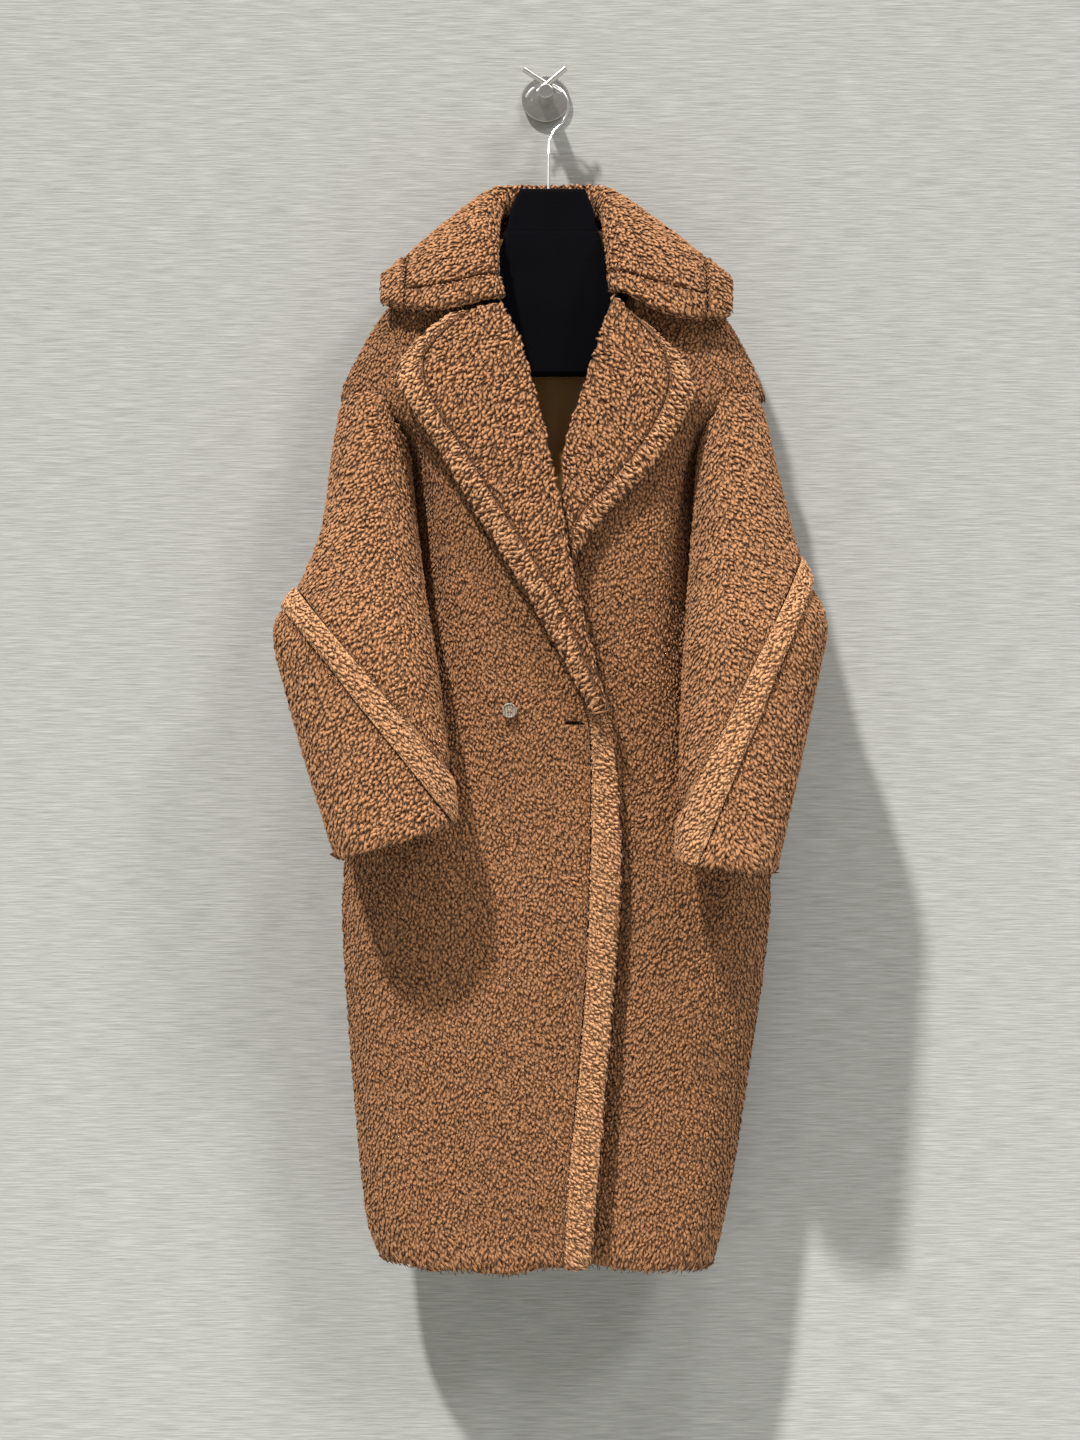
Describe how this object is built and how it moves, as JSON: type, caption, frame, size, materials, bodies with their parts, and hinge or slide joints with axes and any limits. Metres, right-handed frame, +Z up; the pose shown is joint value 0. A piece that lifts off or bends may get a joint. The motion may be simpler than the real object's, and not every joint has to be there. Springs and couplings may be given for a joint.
{
  "type": "faux fur coat on hanger and wall hook",
  "caption": "Long coat of curly tan pile cloth with wide collar and lapels, hung by a flocked form and wire hook on a round wall hook.",
  "frame": {"origin": "middle of the wall plate's back face, where it lies on the wall", "axes": "+Z up along the coat, +Y into the wall, +X to the right of someone facing the coat"},
  "size_m": [0.5683, 0.2474, 1.2391],
  "materials": {
    "pile": "deep curly synthetic pile, worsted-like curls, matt",
    "light_pile": "the same pile cut across the nap, a little lighter",
    "lining": "golden brown satin, soft shine",
    "shell": "pale grey imitation shell, satin",
    "flock": "near-black flocked cloth over a hard board",
    "chrome": "bright bent wire",
    "steel": "brushed, satin"
  },
  "bodies": {
    "root": {"back_panel": "pile", "button": "shell", "collar": "light_pile", "collar_border": "light_pile", "collar_left_end": "light_pile", "collar_right_end": "light_pile", "front_band": "light_pile", "front_left": "pile", "front_right": "pile", "hanger_form": "flock", "hanger_hook": "chrome", "hook_peg_left": "steel", "hook_peg_right": "steel", "hook_post": "steel", "lapel_left": "light_pile", "lapel_left_border": "light_pile", "lapel_right": "light_pile", "lapel_right_border": "light_pile", "lining_back": "lining", "sleeve_left_band": "light_pile", "sleeve_left_lower": "pile", "sleeve_left_upper": "pile", "sleeve_right_band": "light_pile", "sleeve_right_lower": "pile", "sleeve_right_upper": "pile", "wall_plate": "steel"}
  },
  "joints": []
}
